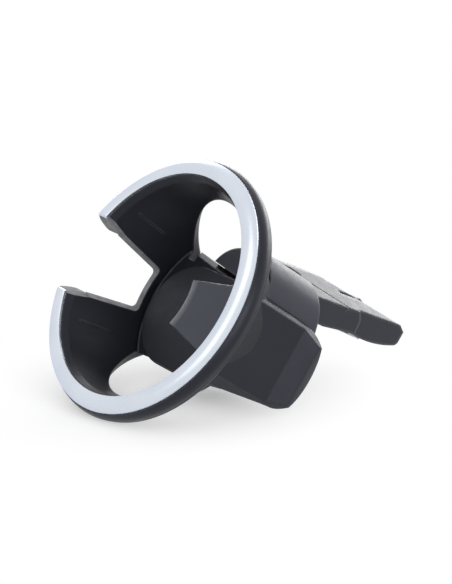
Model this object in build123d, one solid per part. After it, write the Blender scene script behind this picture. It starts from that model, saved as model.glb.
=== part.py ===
from build123d import *
import os

os.makedirs("parts", exist_ok=True)

# Driving sizes, in mm. Z is the cup axis, Y points at the handle notch, X at the mount.
# Z is 0 at the outer edge of the trim ring.
cup_r = 40.0
lip_width = 1.5
lip_z = -2.4
rim_z = 0.2
wall_draft = 0.235
wall_thickness = 2.6
floor_z = -31.2
leg_drop = 4.8
shell = 2.4
reach = 200.0

# Trim ring and the collar band that carries it
ring_width = 6.0
ring_rise = 1.1
ring_crown = 1.5
ring_seat_z = -0.9
ring_step = 1.3
ring_play = 0.1
band_proud = 1.2
band_ledge = 0.3
band_belly = 2.2
band_tuck = 0.4
band_round = 2.1
band_bottom_z = -8.0

# Handle notch in the far wall. In the thin wall and the band it narrows outward by a splay.
notch_top_half = 14.9
notch_bottom_half = 8.8
notch_bottom_z = -28.0
notch_corner = 2.2
notch_over = 12.0
splay_top_half = 16.7
splay_rate = 0.4
splay_inset = 1.2
splay_lead = 4.8
band_notch_half = 15.0
band_notch_low = 4.5
band_splay_rate = 0.3

# Side arches, half ovals seen along X
arch_y = -6.0
arch_top_z = -10.0
arch_height = 32.0
arch_far_half = 34.0
arch_near_half = 42.0

# Thin guide ribs on the far wall
rib_turn = 34.0
rib_width = 0.8
rib_height = 0.25
rib_root = 0.8
rib_top_z = -5.0
rib_length = 18.0
rib_lead = 1.5
rib_fade = 4.0

# Stem under the cup: a flat front panel, a crease and a chin that leans forward
stem_x = -2.4
stem_left_top = 18.6
stem_right_top = 16.7
stem_left_low = 14.4
stem_right_low = 15.3
stem_bottom_z = -50.5
stem_sag = 6.0
stem_knee = 10.0
stem_round = 6.5
stem_inset = 2.0
stem_growth = 3.2
stem_bevel = 2.2
stem_corner = 7.5
stem_belly_y = -12.0
crease_drop = 7.2
chin_depth = 3.0
chin_height = 7.6
chin_tuck = 2.6
chin_bow = 0.4
chin_bow_drop = 1.5

# Sprung flap and its hinge
hinge_inset = 6.0
hinge_z = -9.3
pin_r = 1.0
pin_play = 0.05
knuckle_r = 2.0
swing_gap = 0.35
ear_r = 3.0
ear_thickness = 3.2
pin_cover = 0.8
flap_length = 25.0
flap_half_root = 13.9
flap_half_bend = 11.9
flap_half_tip = 8.5
flap_bend = 17.6
flap_hollow = 1.7
flap_thickness = 2.2
flap_rise = 1.0
flap_edge = 0.8
slot_room = 3.2
slot_depth = 6.0
spring_half = 4.9
spring_room = 0.9
spring_wire_r = 0.35
spring_turns = 4
spring_leg = 10.0
coil_play = 0.2

# Floor ledge and the mat that lies on it
mat_x = -2.6
ledge_half = 19.6
ledge_gap = 0.7
ledge_thickness = 2.0
ledge_bend_y = -2.0
ledge_taper = 2.8
mat_margin = 0.4
mat_setback = 1.2
mat_thickness = 1.2
mat_edge = 0.5

# Rim along the floor's mount side, with a chamfer that shows beside the arm
rim_x = 18.1
rim_turn = 8.0
rim_near = 28.0
rim_far = 24.0
rim_inset = 8.5
rim_fall = 2.2
rim_depth = 4.0
rim_slope = 41.0

# Arm beside the stem
arm_drop = 0.4
arm_setback = 3.6
arm_length = 47.9
arm_root_x = 8.0
arm_left_depth = 17.0
arm_right_depth = 10.6
arm_rise = 18.0
arm_rise_run = 24.0
arm_corner_near = 12.4
arm_corner_far = 12.0
seam_x = 28.4
seam_gap = 0.3

# Bracket: plate, plug and tongue
bracket_setback = 9.9
bracket_width = 27.5
plate_drop = 2.0
plate_top_thickness = 1.6
plate_low_thickness = 2.0
plate_length = 8.4
plug_depth = 6.4
plug_near_gap = 3.5
plug_far_gap = 3.0
plug_drop = 2.8
plug_height = 6.2
fit_play = 0.1
tongue_length = 64.9
tongue_lean = 5.3
tongue_bend = 26.4
tongue_root_w = 16.1
tongue_neck_w = 12.7
tongue_blade_w = 12.3
tongue_mid_w = 10.1
tongue_tip_w = 7.0
tongue_neck_h = 25.2
tongue_blade_h = 17.8
tongue_mid_h = 7.5
tip_bevel = 1.6
tip_bevel_rise = 3.2
tip_round = 2.6
step_height = 21.0
step_depth = 0.9
step_rise = 8.0
step_knee = 2.0
chamfer_drop = 19.4
chamfer_inset = 2.6
chamfer_run = 41.0
chamfer_shift = 7.2
chamfer_flare = 0.488

# Parting groove along the arm's end and on down the chamfer
groove_r = 0.25
groove_drop = 34.4
groove_top_drop = 11.4
groove_run = 9.3
groove_over = 0.5

# Snap finger and anti-rattle pad on the tongue
finger_width = 10.0
finger_length = 16.0
finger_thickness = 2.4
finger_gap = 1.2
finger_drop = 33.4
catch_height = 0.8
catch_root = 0.4
catch_lead = 4.2
catch_back = 1.4
pad_height = 6.0
pad_above_tip = 18.0
pad_inset = 1.5
pad_proud = 0.9
pip_r = 0.5
pip_height = 0.25
pip_drop = 32.8
pip_inset = 6.2

# Screws from inside the stem
screw_r = 1.5
screw_play = 0.1
screw_head_r = 2.8
screw_head_h = 1.8
screw_head_play = 0.4
screw_drive_r = 1.5
screw_drive_depth = 1.1
screw_drop = 5.9
screw_sink = 1.0
screw_end = 0.4
screw_edge = 5.0

# Places that follow from the driving sizes
ring_r_in = cup_r + lip_width
ring_r_out = ring_r_in + ring_width
band_r = ring_r_out + band_proud
leg_bottom_z = floor_z - leg_drop
arch_z = arch_top_z - arch_height
rib_bottom_z = rib_top_z - rib_length
stem_front_y = stem_inset - cup_r
stem_chin_y = stem_front_y - chin_depth
stem_crease_z = floor_z - crease_drop
hinge_y = hinge_inset - cup_r
flap_tip_y = hinge_y + flap_length
flap_top_z = hinge_z + flap_rise
arm_top_z = floor_z - arm_drop
arm_near_y = stem_front_y + arm_setback
arm_far_y = arm_near_y + arm_length
arm_shoulder_z = arm_top_z + arm_rise
bracket_near_y = arm_near_y + bracket_setback
bracket_far_y = bracket_near_y + bracket_width
tongue_tip_z = arm_top_z - tongue_length
tongue_out_x = seam_x + tongue_lean
arc_share = 1 - 0.5 ** 0.5


def wall_in(z):
    return cup_r + wall_draft * (z - lip_z)


def wall_out(z):
    return wall_in(z) + wall_thickness


def turned(outline):
    return revolve(Plane.XZ * make_face(outline), Axis.Z)


def along_x(outline, x0, x1):
    return extrude(Plane.YZ.offset(x0) * make_face(outline), amount=x1 - x0)


def along_y(outline, y0, y1):
    return extrude(Plane.XZ.offset(-y0) * make_face(outline), amount=y0 - y1)


def along_z(outline, z0, z1):
    return extrude(Plane.XY.offset(z0) * make_face(outline), amount=z1 - z0)


def block(x0, x1, y0, y1, z0, z1):
    return Pos((x0 + x1) / 2, (y0 + y1) / 2, (z0 + z1) / 2) * Box(x1 - x0, y1 - y0, z1 - z0)


def rod_x(r, x0, x1, y, z):
    return Pos((x0 + x1) / 2, y, z) * Rot(0, 90, 0) * Cylinder(r, x1 - x0)


def notch_face(bottom_half, top_half):
    over_half = top_half + (top_half - bottom_half) / -notch_bottom_z * notch_over
    face = make_face(Polyline(
        (-bottom_half, notch_bottom_z),
        (bottom_half, notch_bottom_z),
        (over_half, notch_over),
        (-over_half, notch_over),
        close=True))
    return fillet(face.vertices().sort_by(Axis.Y)[:2], notch_corner)


def splay_slice(y):
    narrowing = splay_rate * (y - wall_in(notch_bottom_z) + splay_inset)
    face = notch_face(notch_bottom_half - narrowing, splay_top_half - narrowing)
    return Plane.XZ.offset(-y) * face


def band_slice(y):
    widening = band_splay_rate * max(band_kink_y - y, 0)
    return Plane.XZ.offset(-y) * notch_face(band_notch_low + widening, band_notch_half + widening)


# Notch cutters: a straight one for the ring, splayed ones for the thin wall and the band
band_kink_y = wall_out(band_bottom_z) - splay_inset
notch_cut = extrude(Plane.XZ * notch_face(notch_bottom_half, notch_top_half), amount=-reach)
splay_near_y = wall_in(notch_bottom_z) - splay_lead
splay_far_y = wall_out(band_bottom_z) + splay_inset
splay_cut = loft([splay_slice(splay_near_y), splay_slice(splay_far_y)], ruled=True)
band_slices = [band_slice(splay_near_y), band_slice(band_kink_y), band_slice(band_r + splay_inset)]
band_cut = loft(band_slices, ruled=True)

# Trim ring
ring_inner = ring_r_in + ring_play
ring_key = ring_inner + ring_step
ring_outline = Polyline(
    (ring_inner, ring_rise),
    (ring_inner, rim_z),
    (ring_key, rim_z),
    (ring_key, ring_seat_z),
    (ring_r_out, ring_seat_z),
    (ring_r_out, 0))
ring_mid = (ring_r_out + ring_inner) / 2
ring_outline += ThreePointArc((ring_r_out, 0), (ring_mid, ring_crown), (ring_inner, ring_rise))
trim_ring = turned(ring_outline) - notch_cut

# Collar: the rounded band and the tapered wall turned as one, filled until the cup space is cut
band_low_x = band_r - band_tuck
collar_outline = Polyline(
    (wall_out(band_bottom_z), band_bottom_z),
    (wall_out(leg_bottom_z), leg_bottom_z),
    (0, leg_bottom_z),
    (0, rim_z),
    (ring_r_in + ring_step, rim_z),
    (ring_r_in + ring_step, ring_seat_z),
    (ring_r_out + band_ledge, ring_seat_z))
collar_outline += ThreePointArc(
    (ring_r_out + band_ledge, ring_seat_z),
    (band_r, ring_seat_z - band_belly),
    (band_low_x, band_bottom_z + band_round))
collar_outline += ThreePointArc(
    (band_low_x, band_bottom_z + band_round),
    (band_low_x - arc_share * band_round, band_bottom_z + arc_share * band_round),
    (band_low_x - band_round, band_bottom_z))
collar_outline += Line((band_low_x - band_round, band_bottom_z), (wall_out(band_bottom_z), band_bottom_z))
collar = turned(collar_outline)

# Side arches and the notch
arch_outline = EllipticalCenterArc(
    (arch_y, arch_z), arch_far_half, arch_height, start_angle=0, arc_size=90)
arch_outline += EllipticalCenterArc(
    (arch_y, arch_z), arch_near_half, arch_height, start_angle=90, arc_size=90)
arch_outline += Polyline(
    (arch_y - arch_near_half, arch_z),
    (arch_y - arch_near_half, -reach),
    (arch_y + arch_far_half, -reach),
    (arch_y + arch_far_half, arch_z))
collar = collar - along_x(arch_outline, -reach, reach)
collar = collar - (band_cut & block(-reach, reach, 0, reach, band_bottom_z, reach))
collar = collar - (splay_cut & block(-reach, reach, 0, reach, -reach, band_bottom_z))

# Space kept clear for the cup, with the slanted lip at its mouth
cup_space = turned(Polyline(
    (0, notch_over),
    (ring_r_in, notch_over),
    (ring_r_in, rim_z),
    (cup_r, lip_z),
    (wall_in(floor_z), floor_z),
    (0, floor_z),
    close=True))

# Guide ribs
rib_outline = Polyline(
    (wall_in(rib_top_z) + rib_root, rib_top_z),
    (wall_in(rib_top_z - rib_lead) - rib_height, rib_top_z - rib_lead),
    (wall_in(rib_bottom_z + rib_fade) - rib_height, rib_bottom_z + rib_fade),
    (wall_in(rib_bottom_z) + rib_root, rib_bottom_z),
    close=True)
rib = along_y(rib_outline, -rib_width / 2, rib_width / 2)

# Stem: front view, side view and plan, crossed with each other
left_top_x = stem_x - stem_left_top
right_top_x = stem_x + stem_right_top
left_low_x = stem_x - stem_left_low
right_low_x = stem_x + stem_right_low
low_left = (left_low_x, stem_bottom_z + stem_sag)
low_right = (right_low_x, stem_bottom_z + stem_sag)
stem_front = Polyline(
    low_left,
    (left_low_x, stem_bottom_z + stem_knee),
    (left_top_x, band_bottom_z),
    (left_top_x, lip_z),
    (right_top_x, lip_z),
    (right_top_x, band_bottom_z),
    low_right)
stem_front += ThreePointArc(low_right, ((left_low_x + right_low_x) / 2, stem_bottom_z), low_left)
front_face = make_face(stem_front)
front_face = fillet(front_face.vertices().sort_by(Axis.Y)[:2], stem_round)
stem_depth = wall_out(band_bottom_z) - stem_chin_y
front_plane = Plane.XZ.offset(-stem_chin_y)
stem_by_front = extrude(front_plane * front_face, amount=-stem_depth, taper=-stem_growth)

floor_stock_z = floor_z + mat_thickness
stem_side = Polyline(
    (stem_front_y, lip_z),
    (stem_front_y, stem_crease_z),
    (stem_chin_y, stem_crease_z - chin_height))
stem_side += ThreePointArc(
    (stem_chin_y, stem_crease_z - chin_height),
    (stem_chin_y + chin_bow, stem_crease_z - chin_height - chin_bow_drop),
    (stem_chin_y + chin_tuck, stem_bottom_z - chin_tuck))
stem_side += Polyline(
    (stem_chin_y + chin_tuck, stem_bottom_z - chin_tuck),
    (stem_belly_y, stem_bottom_z - chin_tuck),
    (wall_out(leg_bottom_z), leg_bottom_z),
    (wall_out(leg_bottom_z), floor_stock_z),
    (hinge_y, floor_stock_z),
    (hinge_y, lip_z),
    (stem_front_y, lip_z))
stem_by_side = along_x(stem_side, -reach, reach)

bevel_y = stem_front_y + stem_bevel
stem_plan = Polyline(
    (-reach, reach),
    (-reach, stem_chin_y + stem_corner),
    (left_top_x, stem_chin_y + stem_corner),
    (left_top_x + stem_corner, stem_chin_y),
    (right_top_x - bevel_y + stem_chin_y, stem_chin_y),
    (right_top_x + stem_bevel, bevel_y + stem_bevel),
    (reach, bevel_y + stem_bevel),
    (reach, reach),
    close=True)
stem = stem_by_front & stem_by_side & along_z(stem_plan, -reach, 0)
stem_end_r = (wall_in(floor_z) + wall_out(leg_bottom_z)) / 2
far_side = block(-reach, reach, 0, reach, -reach, reach)
stem = stem - (far_side - Cylinder(stem_end_r, 2 * reach))

# Floor: a ledge with a rounded far end and a tapered near end, and the slot that the flap dips into
flap_fall = hinge_z - floor_z
flap_sweep = max(flap_length ** 2 - flap_fall ** 2, 0) ** 0.5
slot_far_y = hinge_y + flap_sweep + slot_room
floor_far_y = wall_in(floor_z) - ledge_gap


def floor_outline(inset, near_y):
    half = ledge_half - inset
    near_half = half - ledge_taper
    round_y = floor_far_y - ledge_half
    outline = Polyline(
        (mat_x - half, round_y),
        (mat_x - half, ledge_bend_y),
        (mat_x - near_half, near_y),
        (mat_x + near_half, near_y),
        (mat_x + half, ledge_bend_y),
        (mat_x + half, round_y))
    far_round = ThreePointArc((mat_x + half, round_y), (mat_x, round_y + half), (mat_x - half, round_y))
    return outline + far_round


ledge = along_z(floor_outline(0, slot_far_y - shell), floor_z - ledge_thickness, floor_stock_z)
rim_plan = make_face(Polyline(
    (-rim_inset, rim_far),
    (-rim_inset, -rim_near),
    (0, -rim_near),
    (0, rim_far),
    close=True))
rim_place = Pos(rim_x, 0, floor_z - rim_fall) * Rot(0, 0, -rim_turn)
rim = extrude(rim_place * rim_plan, amount=rim_fall - rim_depth)
rim += extrude(rim_place * rim_plan, amount=rim_fall + mat_thickness, taper=rim_slope)
stem = stem + ledge + rim

floor_mat = along_z(floor_outline(mat_margin, slot_far_y + mat_setback), floor_z, floor_z + mat_thickness)
floor_mat = fillet(floor_mat.faces().sort_by(Axis.Z)[-1].edges(), mat_edge)

# Hollow of the stem, open underneath
hollow_top_z = floor_z - shell
hollow_far_y = wall_in(leg_bottom_z) - shell
hollow_front = make_face(Polyline(
    (left_low_x + shell, -reach),
    (left_low_x + shell, stem_bottom_z + stem_knee),
    (left_low_x, hollow_top_z),
    (right_low_x - shell, hollow_top_z),
    (right_low_x - shell, -reach),
    close=True))
hollow = extrude(front_plane * hollow_front, amount=-reach)
hollow_side = Polyline(
    (stem_front_y + shell, hollow_top_z),
    (stem_front_y + shell, stem_crease_z),
    (stem_chin_y + shell, stem_crease_z - chin_height),
    (stem_chin_y + shell + chin_tuck, stem_bottom_z - chin_tuck),
    (stem_chin_y + shell + chin_tuck, -reach),
    (hollow_far_y, -reach),
    (hollow_far_y, hollow_top_z),
    close=True)
hollow = hollow & along_x(hollow_side, -reach, reach)

# Pocket that the flap swings in, with an ear at each end of its pin
pocket_half = flap_half_root + swing_gap
pocket_back_y = hinge_y - knuckle_r - swing_gap
pocket_top_z = hinge_z + ear_r
pocket_far_y = hinge_y + 2 * ear_r
pocket = block(-pocket_half, pocket_half, pocket_back_y, pocket_far_y, floor_stock_z, pocket_top_z)
slot_half = flap_half_bend + swing_gap
slot = block(-slot_half, slot_half, pocket_back_y, slot_far_y, floor_z - slot_depth, hinge_z)
ear_out = pocket_half + ear_thickness
ear_end_r = (wall_in(hinge_z + ear_r) + wall_out(hinge_z - ear_r)) / 2
ear_front_y = stem_front_y + swing_gap
ear = rod_x(ear_r, flap_half_root, ear_out, hinge_y, hinge_z)
ear += block(flap_half_root, ear_out, ear_front_y, hinge_y, hinge_z - ear_r, band_bottom_z)
ear = ear & Cylinder(ear_end_r, 2 * reach)

pin_half = ear_out - pin_cover
pin_bore = rod_x(pin_r + pin_play, -pin_half - pin_play, pin_half + pin_play, hinge_y, hinge_z)
cup_body = collar + stem - cup_space + ear + mirror(ear, about=Plane.YZ)
for turn in (90 - rib_turn, 90 + rib_turn):
    cup_body = cup_body + Rot(0, 0, turn) * rib
cup_body = cup_body - hollow - pocket - slot - pin_bore

# Flap: a tapering plate with a hollowed free edge and a knuckle cut away for the spring
flap_bend_y = flap_tip_y - flap_bend
flap_plan = Polyline(
    (-flap_half_tip, flap_tip_y),
    (-flap_half_bend, flap_bend_y),
    (-flap_half_root, hinge_y),
    (flap_half_root, hinge_y),
    (flap_half_bend, flap_bend_y),
    (flap_half_tip, flap_tip_y))
flap_plan += ThreePointArc(
    (flap_half_tip, flap_tip_y),
    (0, flap_tip_y - flap_hollow),
    (-flap_half_tip, flap_tip_y))
grip_flap = along_z(flap_plan, flap_top_z - flap_thickness, flap_top_z)
flap_rim = grip_flap.faces().sort_by(Axis.Z)[-1].edges().sort_by(Axis.Y)[1:]
grip_flap = fillet(flap_rim, flap_edge)
grip_flap += rod_x(knuckle_r, -flap_half_root, flap_half_root, hinge_y, hinge_z)
coil_half = spring_half + spring_room
coil_cut = 2 * knuckle_r
coil_far_y = hinge_y + ear_r
coil_low_z = hinge_z - coil_cut
coil_top_z = hinge_z + coil_cut
grip_flap -= block(-coil_half, coil_half, hinge_y - coil_cut, coil_far_y, coil_low_z, coil_top_z)
grip_flap -= rod_x(pin_r + pin_play, -reach, reach, hinge_y, hinge_z)

# Pin, and a torsion spring on it whose leg runs down the pocket's back
flap_pin = rod_x(pin_r, -pin_half, pin_half, hinge_y, hinge_z)
coil_r = pin_r + spring_wire_r + coil_play
coil_path = Helix(2 * spring_half / spring_turns, 2 * spring_half, coil_r)
wire_side = 2 * spring_wire_r
wire_face = Plane(coil_path @ 0, z_dir=coil_path % 0) * Rectangle(wire_side, wire_side)
coil = sweep(wire_face, path=coil_path, is_frenet=True)
flap_spring = Pos(-spring_half, hinge_y, hinge_z) * Rot(-90, 0, 0) * Rot(0, 90, 0) * coil
leg_place = Pos(-spring_half, hinge_y - coil_r, hinge_z - spring_leg / 2)
flap_spring = flap_spring + leg_place * Cylinder(spring_wire_r, spring_leg)

# Arm: front view, side view and plan, crossed, with a seam along the stem and a pad against it
arm_low_left_z = arm_top_z - arm_left_depth
arm_low_right_z = arm_top_z - arm_right_depth
arm_front = Polyline(
    (arm_root_x, arm_shoulder_z),
    (seam_x, arm_shoulder_z),
    (seam_x, arm_low_right_z),
    (arm_root_x, arm_low_left_z),
    close=True)
arm_side = Polyline(
    (arm_near_y, arm_shoulder_z),
    (arm_near_y, -reach),
    (arm_far_y, -reach),
    (arm_far_y, arm_top_z),
    (arm_near_y + arm_rise_run, arm_top_z),
    close=True)
arm_plan = make_face(Polyline(
    (arm_root_x, arm_near_y),
    (seam_x, arm_near_y),
    (seam_x, arm_far_y),
    (arm_root_x, arm_far_y),
    close=True))
far_corner = arm_plan.vertices().sort_by(Axis.X)[-2:].sort_by(Axis.Y)[-1:]
arm_plan = fillet(far_corner, arm_corner_far)
near_corner = arm_plan.vertices().sort_by(Axis.Y)[:2].sort_by(Axis.X)[-1:]
arm_plan = fillet(near_corner, arm_corner_near)
mount_arm = along_y(arm_front, arm_near_y, arm_far_y)
mount_arm = mount_arm & along_x(arm_side, -reach, reach)
mount_arm = mount_arm & extrude(Plane.XY.offset(-reach) * arm_plan, amount=reach)
arm_stock = mount_arm
rim_room = extrude(rim_place * rim_plan, amount=reach) + extrude(rim_place * rim_plan, amount=-rim_depth)
mount_arm = arm_stock - Pos(seam_gap, 0, 0) * (stem + rim_room)
for shift in (Pos(seam_gap, seam_gap, 0), Pos(seam_gap, 0, 0), Pos(0, -seam_gap, 0)):
    mount_arm = mount_arm - shift * collar
mount_arm = mount_arm - cup_space
mount_arm -= Pos(seam_x, arm_near_y + arm_corner_near, 0) * Cylinder(groove_r, 2 * reach)

# Bracket: plate on the arm's end, with a tongue that leans outward
arm_slope = (arm_low_right_z - arm_low_left_z) / (seam_x - arm_root_x)
tongue_left_x = tongue_out_x - tongue_root_w
tongue_root_z = arm_low_left_z + arm_slope * (tongue_left_x - arm_root_x) - seam_gap
blade_start = (tongue_out_x - tongue_blade_w, tongue_tip_z + tongue_blade_h)
blade_end = (tongue_out_x - tongue_tip_w, tongue_tip_z)
bracket_front = Polyline(
    blade_end,
    (tongue_out_x - tip_bevel, tongue_tip_z),
    (tongue_out_x, tongue_tip_z + tip_bevel_rise),
    (tongue_out_x, arm_top_z - tongue_bend),
    (seam_x + plate_low_thickness, arm_top_z - plate_length),
    (seam_x + plate_top_thickness, arm_top_z - plate_drop),
    (seam_x, arm_top_z - plate_drop),
    (seam_x, arm_low_right_z - seam_gap),
    (tongue_left_x, tongue_root_z),
    (tongue_left_x, arm_top_z - tongue_bend),
    (tongue_out_x - tongue_neck_w, tongue_tip_z + tongue_neck_h),
    blade_start)
blade_mid = (tongue_out_x - tongue_mid_w, tongue_tip_z + tongue_mid_h)
bracket_front += ThreePointArc(blade_start, blade_mid, blade_end)
bracket_face = make_face(bracket_front)
tip_corner = bracket_face.vertices().sort_by(Axis.Y)[:2].sort_by(Axis.X)[:1]
bracket_face = fillet(tip_corner, tip_round)
bracket_plane = Plane.XZ.offset(-bracket_near_y)
mount_bracket = extrude(bracket_plane * bracket_face, amount=-bracket_width)

# Broad chamfer along the tongue's outer near edge
chamfer_line = Vector(chamfer_shift, 0, -chamfer_run)
chamfer_plane = Plane(
    origin=(seam_x - chamfer_inset, bracket_near_y, arm_top_z - chamfer_drop),
    x_dir=chamfer_line,
    z_dir=chamfer_line.cross(Vector(chamfer_flare, 1, 0)))
mount_bracket = split(mount_bracket, bisect_by=chamfer_plane, keep=Keep.BOTTOM)


def on_chamfer(run, drop):
    x = seam_x - chamfer_inset + chamfer_shift * (drop - chamfer_drop) / chamfer_run + chamfer_flare * run
    return Vector(x, bracket_near_y + run, arm_top_z - drop)


groove_line = on_chamfer(groove_run, groove_top_drop) - on_chamfer(0, groove_drop)
groove_length = groove_line.length + 2 * groove_over
groove_middle = (on_chamfer(groove_run, groove_top_drop) + on_chamfer(0, groove_drop)) / 2
mount_bracket -= Plane(groove_middle, z_dir=groove_line) * Cylinder(groove_r, groove_length)

# Shallow step across the near face of the blade
step_z = tongue_tip_z + step_height
step_outline = Polyline(
    (tongue_left_x - step_rise, step_z),
    (tongue_out_x - tongue_tip_w, step_z + step_knee),
    (tongue_out_x, step_z + step_rise),
    (tongue_out_x + step_rise, step_z + step_rise),
    (tongue_out_x + step_rise, -reach),
    (tongue_left_x - step_rise, -reach),
    close=True)
mount_bracket -= along_y(step_outline, bracket_near_y, bracket_near_y + step_depth)

# Small pip on the near face
pip_place = Pos(tongue_out_x - pip_inset, bracket_near_y, arm_top_z - pip_drop)
mount_bracket += pip_place * Rot(90, 0, 0) * Cylinder(pip_r, 2 * pip_height)

# Plug on the plate's back, in a socket in the arm
plug_x = seam_x - plug_depth
plug_near_y = bracket_near_y + plug_near_gap
plug_far_y = bracket_far_y - plug_far_gap
plug_top_z = arm_top_z - plug_drop
plug_low_z = plug_top_z - plug_height
plug_root_x = seam_x + plate_top_thickness / 2
mount_bracket += block(plug_x, plug_root_x, plug_near_y, plug_far_y, plug_low_z, plug_top_z)
socket_near_y = plug_near_y - fit_play
socket_far_y = plug_far_y + fit_play
socket_low_z = plug_low_z - fit_play
socket_top_z = plug_top_z + fit_play
arm_pad = arm_stock & block(arm_root_x, seam_x, plug_near_y, plug_far_y, plug_low_z, plug_top_z)
mount_arm += arm_pad - stem - rim_room
mount_arm -= block(plug_x - fit_play, reach, socket_near_y, socket_far_y, socket_low_z, socket_top_z)

# Snap finger, freed by a gap behind it and a slit round three sides
finger_y = (bracket_near_y + bracket_far_y) / 2
finger_near_y = finger_y - finger_width / 2
finger_far_y = finger_y + finger_width / 2
finger_top_z = arm_top_z - finger_drop
finger_low_z = finger_top_z - finger_length
finger_x = tongue_out_x - finger_thickness
slit_near_y = finger_near_y - finger_gap
slit_far_y = finger_far_y + finger_gap
slit_low_z = finger_low_z - finger_gap
finger_slot = block(finger_x - finger_gap, reach, slit_near_y, slit_far_y, slit_low_z, finger_top_z)
finger_slot -= block(finger_x, reach, finger_near_y, finger_far_y, finger_low_z, finger_top_z)
mount_bracket -= finger_slot
catch = Polyline(
    (tongue_out_x - catch_root, finger_low_z + catch_root + catch_lead + catch_back),
    (tongue_out_x + catch_height, finger_low_z + catch_root + catch_lead),
    (tongue_out_x - catch_root, finger_low_z + catch_root),
    close=True)
mount_bracket += along_y(catch, finger_near_y, finger_far_y)

# Anti-rattle pad on the tongue's inner edge
pad_low_z = tongue_tip_z + pad_above_tip
pad_x = blade_start[0]
pad_outline = Polyline(
    (pad_x - pad_proud, pad_low_z + pad_height),
    (pad_x + finger_thickness, pad_low_z + pad_height),
    (pad_x + finger_thickness, pad_low_z),
    (pad_x - pad_proud / 2, pad_low_z),
    close=True)
tongue_pad = along_y(pad_outline, bracket_near_y + pad_inset, bracket_far_y - pad_inset) - mount_bracket

# Screws from inside the stem, through the arm, into the plug
screw_seat_x = right_low_x - screw_sink
screw_tip_x = seam_x - screw_end
screw_z = arm_top_z - screw_drop
screws = []
for y in (plug_near_y + screw_edge, plug_far_y - screw_edge):
    bore = rod_x(screw_r + screw_play, stem_x, screw_tip_x + screw_end, y, screw_z)
    head_bore = rod_x(screw_head_r + screw_head_play, stem_x, screw_seat_x, y, screw_z)
    cup_body = cup_body - bore - head_bore
    mount_arm = mount_arm - bore
    mount_bracket = mount_bracket - bore
    head_x = screw_seat_x - screw_head_h
    screw = rod_x(screw_r, screw_seat_x, screw_tip_x, y, screw_z)
    screw += rod_x(screw_head_r, head_x, screw_seat_x, y, screw_z)
    drive = extrude(RegularPolygon(screw_drive_r, 6), amount=screw_drive_depth)
    screws.append(screw - Pos(head_x, y, screw_z) * Rot(0, 90, 0) * drive)

pieces = {
    "cup_body": cup_body,
    "trim_ring": trim_ring,
    "floor_mat": floor_mat,
    "grip_flap": grip_flap,
    "flap_pin": flap_pin,
    "flap_spring": flap_spring,
    "mount_arm": mount_arm,
    "mount_bracket": mount_bracket,
    "tongue_pad": tongue_pad,
    "mount_screw_near": screws[0],
    "mount_screw_far": screws[1],
}
for name, piece in pieces.items():
    print(name, round(piece.volume), "solids", len(piece.solids()))
    export_step(piece, "parts/" + name + ".step")
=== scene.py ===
import bpy
from mathutils import Matrix, Vector

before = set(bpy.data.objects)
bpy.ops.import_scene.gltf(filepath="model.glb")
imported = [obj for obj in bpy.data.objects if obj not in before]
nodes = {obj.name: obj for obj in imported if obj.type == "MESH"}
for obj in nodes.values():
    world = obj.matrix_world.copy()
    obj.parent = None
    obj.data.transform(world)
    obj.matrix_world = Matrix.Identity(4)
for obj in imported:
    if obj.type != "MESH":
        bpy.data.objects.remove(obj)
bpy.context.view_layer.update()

scene = bpy.context.scene
scene.view_settings.view_transform = "Standard"
MM = 0.001

# Photograph's camera, in the part's own frame
CAMERA_PLACE = Vector((-32.466, -496.586, 398.590)) * MM
CAMERA_RIGHT = Vector((0.48462, -0.59738, -0.63897))
CAMERA_UP = Vector((0.87215, 0.27392, 0.40537))
CAMERA_FORWARD = Vector((0.06713, 0.75373, -0.65375))
CAMERA_LENS = 115.0
CAMERA_SENSOR = 36.0
CAMERA_CLIP_START = 0.01
CAMERA_CLIP_END = 20.0

# Table that the part lies on, on its side
TABLE_UP = Vector((0.83, 0.083, 0.551)).normalized()
TABLE_LEVEL = -43.5 * MM
TABLE_HALF_SIDE = 1.6
TABLE_CORNERS = ((-1, -1), (1, -1), (1, 1), (-1, 1))
TABLE_COLOUR = (0.80, 0.80, 0.805, 1.0)
TABLE_GLOW = 0.29

# Where the table goes over from shadowed paint to white
FADE_CENTRE = Vector((-28.0, 20.0, -36.0)) * MM
FADE_START = 30.0 * MM
FADE_END = 82.0 * MM

# White surroundings, and the share of them that lights matt surfaces
WHITE = (1.0, 1.0, 1.0, 1.0)
AMBIENT = 0.66

# Lamps: direction from the part, distance and size in metres, power in watts
LAMP_AIM = Vector((2.0, -2.0, -30.0)) * MM
LAMPS = {
    "key": {"direction": (0.14, 0.05, 0.985), "distance": 0.9, "width": 0.5, "height": 0.9, "power": 0.9},
    "rim": {"direction": (0.63, 0.40, -0.665), "distance": 0.75, "width": 0.95, "height": 0.24, "power": 2.5},
    "back": {"direction": (0.53, 0.83, -0.18), "distance": 0.8, "width": 0.5, "height": 0.5, "power": 1.6},
    "fill": {"direction": (0.10, -0.95, 0.22), "distance": 0.8, "width": 0.7, "height": 0.4, "power": 2.6},
}

# Cool cast of the gloss
GLOSS_TINT = (0.82, 0.85, 1.0, 1.0)

# Range in which most values of a noise texture lie
NOISE_LOW = 0.3
NOISE_HIGH = 0.7
NOISE_ROUGHNESS = 0.55

# Fineness of each layer's noise, and how much finer the gloss's patches are than the tint's
TINT_DETAIL = 4.0
GLOSS_DETAIL = 5.0
GLOSS_FINER = 3.1
GRAIN_DETAIL = 2.0

# Softened edges: samples of the rounded normal, and how well it fits the plain one where the painted edge
# highlight is full and where there is none
EDGE_SAMPLES = 8
EDGE_HIGHLIGHT_FIT = 0.88
EDGE_PLAIN_FIT = 0.998
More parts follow.
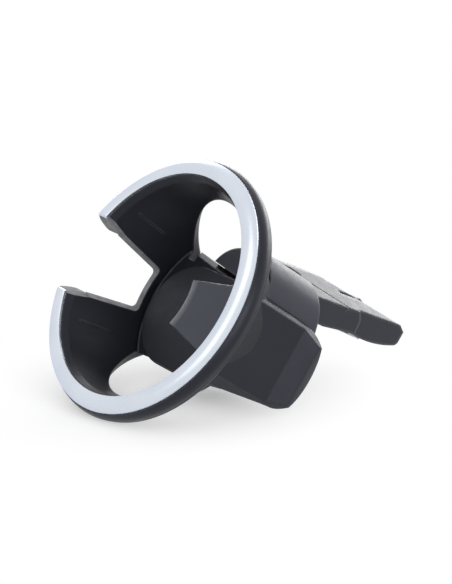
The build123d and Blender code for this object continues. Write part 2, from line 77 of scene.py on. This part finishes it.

# Patches in which the paler colours are laid (painted highlights along edges and along the flap's free edge,
# paler notch faces): noise values between which they set in, their scale, and the share left in the faintest
PATCH_NOISE_DETAIL = 5.0
PATCH_NOISE_START = 0.35
PATCH_NOISE_END = 0.60
EDGE_HIGHLIGHT_PATCH_SCALE = 260.0
EDGE_HIGHLIGHT_LEAST = 0.45
PAINT_OVER_PATCH_SCALE = 300.0
PAINT_OVER_LEAST = 0.6

# Mat's pebbles and pad's fibres
PEBBLE_SCALE = 900.0
PEBBLE_DEPTH = 0.03
PEBBLE_STRENGTH = 0.5
FIBRE_SCALE = 900.0
FIBRE_DETAIL = 6.0
FIBRE_STRETCH = (1.0, 0.25, 1.8)
FIBRE_DEPTH = 0.15
FIBRE_STRENGTH = 0.8
FELT_SHEEN = 0.3

# Flap's hollowed free edge: the arc's centre, and how far from it the painted highlight band fades out
FLAP_ARC_CENTRE = Vector((0.0, 11.4, -8.3)) * MM
FLAP_HIGHLIGHT_FULL_TO = 22.2 * MM
FLAP_HIGHLIGHT_GONE_FROM = 25.6 * MM
FLAP_EDGE_HIGHLIGHT = (0.24, 0.245, 0.265)

# Handle notch: the space round it, how far its cut faces may turn towards Y, and their paler, rougher finish
NOTCH_NEAR_Y = 28.0 * MM
NOTCH_HALF_WIDTH = 17.5 * MM
NOTCH_BOTTOM_Z = -29.0 * MM
NOTCH_BLUR = 1.0 * MM
NOTCH_TURN_START = 0.45
NOTCH_TURN_END = 0.60
NOTCH_FACE_COLOUR = (0.260, 0.262, 0.272)
NOTCH_FACE_GRAIN = 0.05
NOTCH_FACE_ROUGHNESS = 0.75

# Colour sockets of Blender's Mix node
MIX_UNDER = 6
MIX_OVER = 7
MIX_RESULT = 2


def add_node(tree, kind, **sockets):
    """A new node with its named sockets set, where an underscore stands for a space."""
    node = tree.nodes.new(kind)
    for name, value in sockets.items():
        node.inputs[name.replace("_", " ")].default_value = value
    return node


def calculate(tree, operation, first, second):
    node = tree.nodes.new("ShaderNodeMath")
    node.operation = operation
    tree.links.new(first, node.inputs[0])
    tree.links.new(second, node.inputs[1])
    return node.outputs["Value"]


def highest(tree, first, second):
    return calculate(tree, "MAXIMUM", first, second)


def product(tree, first, second):
    return calculate(tree, "MULTIPLY", first, second)


def spread(tree, source, low, high, start=NOISE_LOW, end=NOISE_HIGH):
    """A value that goes from low to high while the source goes from start to end."""
    node = add_node(tree, "ShaderNodeMapRange", From_Min=start, From_Max=end, To_Min=low, To_Max=high)
    tree.links.new(source, node.inputs["Value"])
    return node.outputs["Result"]


def rising(tree, source, start, end):
    return spread(tree, source, 0.0, 1.0, start, end)


def falling(tree, source, start, end):
    return spread(tree, source, 1.0, 0.0, start, end)


def by_mask(tree, mask, outside, inside):
    return spread(tree, mask, outside, inside, 0.0, 1.0)


def own_place(tree):
    """Position in the piece's own frame, so that the texture moves with the piece."""
    return tree.nodes.new("ShaderNodeTexCoord").outputs["Object"]


def plain_normal(tree):
    return tree.nodes.new("ShaderNodeNewGeometry").outputs["Normal"]


def parts_of(tree, vector):
    node = tree.nodes.new("ShaderNodeSeparateXYZ")
    tree.links.new(vector, node.inputs["Vector"])
    return node.outputs


def unsigned(tree, vector):
    node = tree.nodes.new("ShaderNodeVectorMath")
    node.operation = "ABSOLUTE"
    tree.links.new(vector, node.inputs[0])
    return node.outputs["Vector"]


def distance_to(tree, centre, place):
    node = tree.nodes.new("ShaderNodeVectorMath")
    node.operation = "DISTANCE"
    node.inputs[1].default_value = centre
    tree.links.new(place, node.inputs[0])
    return node.outputs["Value"]


def noise(tree, scale, detail, stretch=(1.0, 1.0, 1.0)):
    mapping = add_node(tree, "ShaderNodeMapping", Scale=stretch)
    tree.links.new(own_place(tree), mapping.inputs["Vector"])
    texture = add_node(tree, "ShaderNodeTexNoise", Scale=scale, Detail=detail, Roughness=NOISE_ROUGHNESS)
    tree.links.new(mapping.outputs["Vector"], texture.inputs["Vector"])
    return texture.outputs["Fac"]


def tint(tree, source, dark, light):
    node = tree.nodes.new("ShaderNodeValToRGB")
    low, high = node.color_ramp.elements
    low.position = NOISE_LOW
    high.position = NOISE_HIGH
    low.color = (*dark, 1.0)
    high.color = (*light, 1.0)
    tree.links.new(source, node.inputs["Fac"])
    return node.outputs["Color"]


def bump(tree, source, depth, strength, under):
    node = add_node(tree, "ShaderNodeBump", Strength=strength, Distance=depth * MM)
    tree.links.new(source, node.inputs["Height"])
    tree.links.new(under, node.inputs["Normal"])
    return node.outputs["Normal"]


def soft_edges(tree, radius):
    node = add_node(tree, "ShaderNodeBevel", Radius=radius * MM)
    node.samples = EDGE_SAMPLES
    return node.outputs["Normal"]


def broken_into_patches(tree, mask, scale, least):
    """The mask, broken up into patches of which the faintest keep the least share."""
    patches = spread(tree, noise(tree, scale, PATCH_NOISE_DETAIL), least, 1.0, PATCH_NOISE_START, PATCH_NOISE_END)
    return product(tree, mask, patches)


def lay_over(tree, mask, under, over):
    """The colour under, which goes over to one fixed colour where the mask is high."""
    node = tree.nodes.new("ShaderNodeMix")
    node.data_type = "RGBA"
    tree.links.new(mask, node.inputs["Factor"])
    tree.links.new(under, node.inputs[MIX_UNDER])
    node.inputs[MIX_OVER].default_value = (*over, 1.0)
    return node.outputs[MIX_RESULT]


def painted_edge_highlights(tree, rounded, colour, paler):
    """The colour, lighter in patches where the rounded normal leaves the plain one: a painted highlight along
    the edges.
    """
    fit = tree.nodes.new("ShaderNodeVectorMath")
    fit.operation = "DOT_PRODUCT"
    tree.links.new(rounded, fit.inputs[0])
    tree.links.new(plain_normal(tree), fit.inputs[1])
    at_edge = falling(tree, fit.outputs["Value"], EDGE_HIGHLIGHT_FIT, EDGE_PLAIN_FIT)
    return lay_over(tree, broken_into_patches(tree, at_edge, EDGE_HIGHLIGHT_PATCH_SCALE, EDGE_HIGHLIGHT_LEAST), colour, paler)


def surface(name, dark, light, rough, metallic=0.0, specular=0.5, patch=90.0, grain=1600.0,
            depth=0.02, strength=0.4, edge=0.35, paler=None):
    """A material with broad patches of tint, uneven gloss, softened edges and a fine grain, and with a
    highlight painted along its edges where a paler colour is given.

    The scales of patch and grain are features a metre. The grain's depth and the edge's radius are in mm.
    """
    material = bpy.data.materials.new(name)
    material.use_nodes = True
    tree = material.node_tree
    shader = tree.nodes["Principled BSDF"]
    shader.inputs["Metallic"].default_value = metallic
    shader.inputs["Specular IOR Level"].default_value = specular
    shader.inputs["Specular Tint"].default_value = GLOSS_TINT
    rounded = soft_edges(tree, edge) if edge else plain_normal(tree)
    colour = tint(tree, noise(tree, patch, TINT_DETAIL), dark, light)
    # Painted highlight: a paler colour laid in patches along the edges
    if paler:
        colour = painted_edge_highlights(tree, rounded, colour, paler)
    tree.links.new(colour, shader.inputs["Base Color"])
    gloss = spread(tree, noise(tree, patch * GLOSS_FINER, GLOSS_DETAIL), *rough)
    tree.links.new(gloss, shader.inputs["Roughness"])
    grained = bump(tree, noise(tree, grain, GRAIN_DETAIL), depth, strength, rounded)
    tree.links.new(grained, shader.inputs["Normal"])
    return material


def add_bump(material, height, depth, strength):
    """A second relief over the material's own grain."""
    tree = material.node_tree
    normal = tree.nodes["Principled BSDF"].inputs["Normal"]
    tree.links.new(bump(tree, height, depth, strength, normal.links[0].from_socket), normal)


def paint_over(material, mask, colour):
    """Lay a second colour over a material where the mask is high, in broken patches."""
    tree = material.node_tree
    base = tree.nodes["Principled BSDF"].inputs["Base Color"]
    paler = broken_into_patches(tree, mask, PAINT_OVER_PATCH_SCALE, PAINT_OVER_LEAST)
    tree.links.new(lay_over(tree, paler, base.links[0].from_socket, colour), base)


def paint_flap_edge_highlight(material):
    """A paler band along the flap's hollowed free edge: a painted highlight where the edge catches the light.
    """
    tree = material.node_tree
    away = distance_to(tree, FLAP_ARC_CENTRE, own_place(tree))
    paint_over(material, falling(tree, away, FLAP_HIGHLIGHT_FULL_TO, FLAP_HIGHLIGHT_GONE_FROM), FLAP_EDGE_HIGHLIGHT)


def pale_notch_faces(material):
    """Paler, rougher cut faces in the handle notch, with less grain."""
    tree = material.node_tree
    place = own_place(tree)
    at = parts_of(tree, place)
    aside = parts_of(tree, unsigned(tree, place))["X"]
    turned = parts_of(tree, unsigned(tree, plain_normal(tree)))["Y"]
    mask = falling(tree, turned, NOTCH_TURN_START, NOTCH_TURN_END)
    mask = product(tree, mask, rising(tree, at["Y"], NOTCH_NEAR_Y - NOTCH_BLUR, NOTCH_NEAR_Y))
    mask = product(tree, mask, falling(tree, aside, NOTCH_HALF_WIDTH, NOTCH_HALF_WIDTH + NOTCH_BLUR))
    mask = product(tree, mask, rising(tree, at["Z"], NOTCH_BOTTOM_Z - NOTCH_BLUR, NOTCH_BOTTOM_Z))
    shader = tree.nodes["Principled BSDF"]
    grain = shader.inputs["Normal"].links[0].from_node.inputs["Strength"]
    tree.links.new(by_mask(tree, mask, grain.default_value, NOTCH_FACE_GRAIN), grain)
    rough = shader.inputs["Roughness"]
    roughened = by_mask(tree, mask, 0.0, NOTCH_FACE_ROUGHNESS)
    tree.links.new(highest(tree, rough.links[0].from_socket, roughened), rough)
    paint_over(material, mask, NOTCH_FACE_COLOUR)


# Materials of the part; where one gives a paler colour for its edges, that is a highlight painted along them
black_moulding = surface(
    "black_moulding", dark=(0.0070, 0.0073, 0.0105), light=(0.0098, 0.0102, 0.0140),
    rough=(0.34, 0.42), specular=0.35, edge=1.0, paler=(0.06, 0.061, 0.068))
pale_notch_faces(black_moulding)

arm_moulding = surface(
    "arm_moulding", dark=(0.0405, 0.0410, 0.0515), light=(0.0470, 0.0475, 0.0585),
    rough=(0.36, 0.44), specular=0.36, edge=1.2, paler=(0.11, 0.11, 0.12))

bracket_moulding = surface(
    "bracket_moulding", dark=(0.0135, 0.0138, 0.0175), light=(0.0180, 0.0183, 0.0225),
    rough=(0.28, 0.36), specular=0.45, edge=1.6, paler=(0.09, 0.09, 0.095))

flap_moulding = surface(
    "flap_moulding", dark=(0.0290, 0.0320, 0.0430), light=(0.0345, 0.0375, 0.0490),
    rough=(0.30, 0.38), grain=2000.0, edge=1.0, paler=(0.20, 0.205, 0.22))
# Painted highlight along the flap's free edge
paint_flap_edge_highlight(flap_moulding)

satin_chrome = surface(
    "satin_chrome", dark=(0.64, 0.69, 0.76), light=(0.69, 0.735, 0.80),
    rough=(0.24, 0.30), metallic=1.0, patch=60.0, grain=2600.0, depth=0.002, strength=0.05, edge=0.0)

steel = surface(
    "steel", dark=(0.50, 0.50, 0.51), light=(0.60, 0.60, 0.61),
    rough=(0.26, 0.38), metallic=1.0, grain=2200.0, depth=0.006, edge=0.1)

grey_rubber = surface(
    "grey_rubber", dark=(0.0120, 0.0123, 0.0160), light=(0.0158, 0.0161, 0.0205),
    rough=(0.50, 0.60), specular=0.35, grain=2400.0)
pebbles = add_node(grey_rubber.node_tree, "ShaderNodeTexVoronoi", Scale=PEBBLE_SCALE)
grey_rubber.node_tree.links.new(own_place(grey_rubber.node_tree), pebbles.inputs["Vector"])
add_bump(grey_rubber, pebbles.outputs["Distance"], PEBBLE_DEPTH, PEBBLE_STRENGTH)

pale_felt = surface(
    "pale_felt", dark=(0.56, 0.56, 0.56), light=(0.70, 0.70, 0.69),
    rough=(0.85, 0.95), specular=0.2, patch=400.0)
pale_felt.node_tree.nodes["Principled BSDF"].inputs["Sheen Weight"].default_value = FELT_SHEEN
fibres = noise(pale_felt.node_tree, FIBRE_SCALE, FIBRE_DETAIL, FIBRE_STRETCH)
add_bump(pale_felt, fibres, FIBRE_DEPTH, FIBRE_STRENGTH)

finish = {
    "cup_body": black_moulding,
    "trim_ring": satin_chrome,
    "floor_mat": grey_rubber,
    "grip_flap": flap_moulding,
    "mount_arm": arm_moulding,
    "mount_bracket": bracket_moulding,
    "tongue_pad": pale_felt,
    "flap_pin": steel,
    "flap_spring": steel,
    "mount_screw_near": steel,
    "mount_screw_far": steel,
}
for name, material in finish.items():
    nodes[name].data.materials.clear()
    nodes[name].data.materials.append(material)


def shown_directly(tree):
    """1 for rays from the camera, from gloss and through glass, 0 for matt light."""
    path = tree.nodes.new("ShaderNodeLightPath")
    mirrored = highest(tree, path.outputs["Is Glossy Ray"], path.outputs["Is Transmission Ray"])
    return highest(tree, path.outputs["Is Camera Ray"], mirrored)


def choose(tree, factor, first, second):
    """The first shader where the factor is 0, the second where it is 1."""
    node = tree.nodes.new("ShaderNodeMixShader")
    tree.links.new(factor, node.inputs["Fac"])
    tree.links.new(first, node.inputs[1])
    tree.links.new(second, node.inputs[2])
    return node.outputs["Shader"]


def table_material():
    """Pale paint with the part's shadow on it, white further out, clear from below."""
    material = bpy.data.materials.new("table")
    material.use_nodes = True
    tree = material.node_tree
    tree.nodes.clear()
    seen = shown_directly(tree)
    paint = add_node(tree, "ShaderNodeBsdfDiffuse", Color=TABLE_COLOUR)
    glow = tree.nodes.new("ShaderNodeEmission")
    tree.links.new(by_mask(tree, seen, 0.0, TABLE_GLOW), glow.inputs["Strength"])
    lit = tree.nodes.new("ShaderNodeAddShader")
    tree.links.new(paint.outputs["BSDF"], lit.inputs[0])
    tree.links.new(glow.outputs["Emission"], lit.inputs[1])
    place = tree.nodes.new("ShaderNodeNewGeometry")
    away = distance_to(tree, FADE_CENTRE, place.outputs["Position"])
    open_table = product(tree, rising(tree, away, FADE_START, FADE_END), seen)
    white = add_node(tree, "ShaderNodeEmission", Color=WHITE, Strength=1.0)
    shown = choose(tree, open_table, lit.outputs["Shader"], white.outputs["Emission"])
    clear = tree.nodes.new("ShaderNodeBsdfTransparent")
    one_sided = choose(tree, place.outputs["Backfacing"], shown, clear.outputs["BSDF"])
    result = tree.nodes.new("ShaderNodeOutputMaterial")
    tree.links.new(one_sided, result.inputs["Surface"])
    return material


def add_table():
    """One square under the part, whose painted side faces it."""
    mesh = bpy.data.meshes.new("table")
    side = TABLE_UP.cross(Vector((0.0, 0.0, 1.0))).normalized()
    ahead = TABLE_UP.cross(side)
    middle = TABLE_UP * TABLE_LEVEL
    corners = [middle + TABLE_HALF_SIDE * (a * side + b * ahead) for a, b in TABLE_CORNERS]
    mesh.from_pydata(corners, [], [(0, 1, 2, 3)])
    mesh.update()
    if mesh.polygons[0].normal.dot(TABLE_UP) < 0:
        mesh.flip_normals()
    mesh.materials.append(table_material())
    table = bpy.data.objects.new("table", mesh)
    scene.collection.objects.link(table)


def set_world():
    """Plain white surroundings for the camera and for gloss, a little dimmer for matt light."""
    world = bpy.data.worlds.new("studio")
    scene.world = world
    world.use_nodes = True
    tree = world.node_tree
    around = tree.nodes["Background"]
    around.inputs["Color"].default_value = WHITE
    tree.links.new(by_mask(tree, shown_directly(tree), AMBIENT, 1.0), around.inputs["Strength"])


def placed(place, right, up, back):
    """The matrix of an object at a place, whose X, Y and Z point right, up and back."""
    return Matrix.Translation(place) @ Matrix((right, up, back)).transposed().to_4x4()


def soft_box(name, direction, distance, width, height, power):
    """A plain white panel that faces the part, level with the table."""
    data = bpy.data.lights.new(name, "AREA")
    data.shape = "RECTANGLE"
    data.size = width
    data.size_y = height
    data.energy = power
    lamp = bpy.data.objects.new(name, data)
    back = Vector(direction).normalized()
    side = TABLE_UP.cross(back).normalized()
    lamp.matrix_world = placed(LAMP_AIM + distance * back, side, back.cross(side), back)
    lamp.visible_camera = False
    scene.collection.objects.link(lamp)


def add_camera():
    data = bpy.data.cameras.new("camera")
    data.lens = CAMERA_LENS
    data.sensor_width = CAMERA_SENSOR
    data.clip_start = CAMERA_CLIP_START
    data.clip_end = CAMERA_CLIP_END
    camera = bpy.data.objects.new("camera", data)
    camera.matrix_world = placed(CAMERA_PLACE, CAMERA_RIGHT, CAMERA_UP, -CAMERA_FORWARD)
    scene.collection.objects.link(camera)
    scene.camera = camera


add_table()
set_world()
for name, settings in LAMPS.items():
    soft_box(name, **settings)
add_camera()
